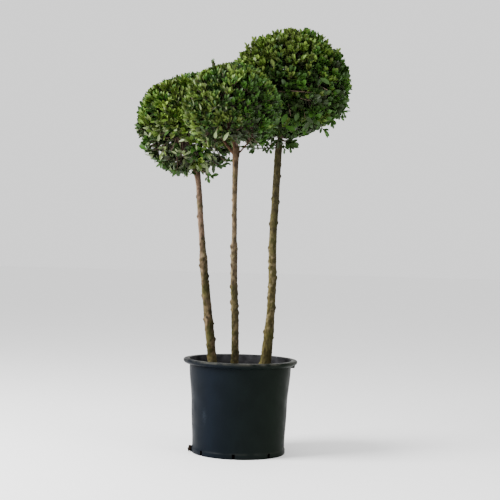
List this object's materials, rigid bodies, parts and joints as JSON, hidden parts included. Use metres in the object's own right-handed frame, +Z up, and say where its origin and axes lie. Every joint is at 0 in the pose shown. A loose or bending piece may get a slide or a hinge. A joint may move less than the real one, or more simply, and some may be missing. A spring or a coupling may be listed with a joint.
{
  "type": "potted lollipop topiary",
  "caption": "Multi-stemmed lollipop topiary: bare leaning stems carry clipped balls of small glossy evergreen leaves above a round dark plastic nursery pot.",
  "frame": {"origin": "centre of the pot's flat underside", "axes": "+Z up the stems, -Y towards the front, where the middle head stands, +X towards the tallest stem"},
  "size_m": [1.1512, 0.9267, 2.263],
  "materials": {
    "pot_plastic": "charcoal moulded plastic with a soft sheen, lightly scuffed, a little green algae on one side",
    "potting_soil": "dark moist potting soil with bark crumbs",
    "bark": "thin grey-brown bark, olive and rough low down, smoother and pinkish higher up",
    "young_bark": "smooth reddish-brown young bark",
    "foliage": "small glossy dark green leaves with yellow-green young growth"
  },
  "bodies": {
    "root": {"pot": "pot_plastic", "soil": "potting_soil", "stem_left": "bark", "stem_middle": "bark", "stem_right": "bark", "bough_middle_left": "young_bark", "bough_middle_front": "young_bark", "bough_middle_right": "young_bark", "bough_middle_back": "young_bark", "head_left": "foliage", "head_middle": "foliage", "head_right": "foliage"}
  },
  "joints": []
}
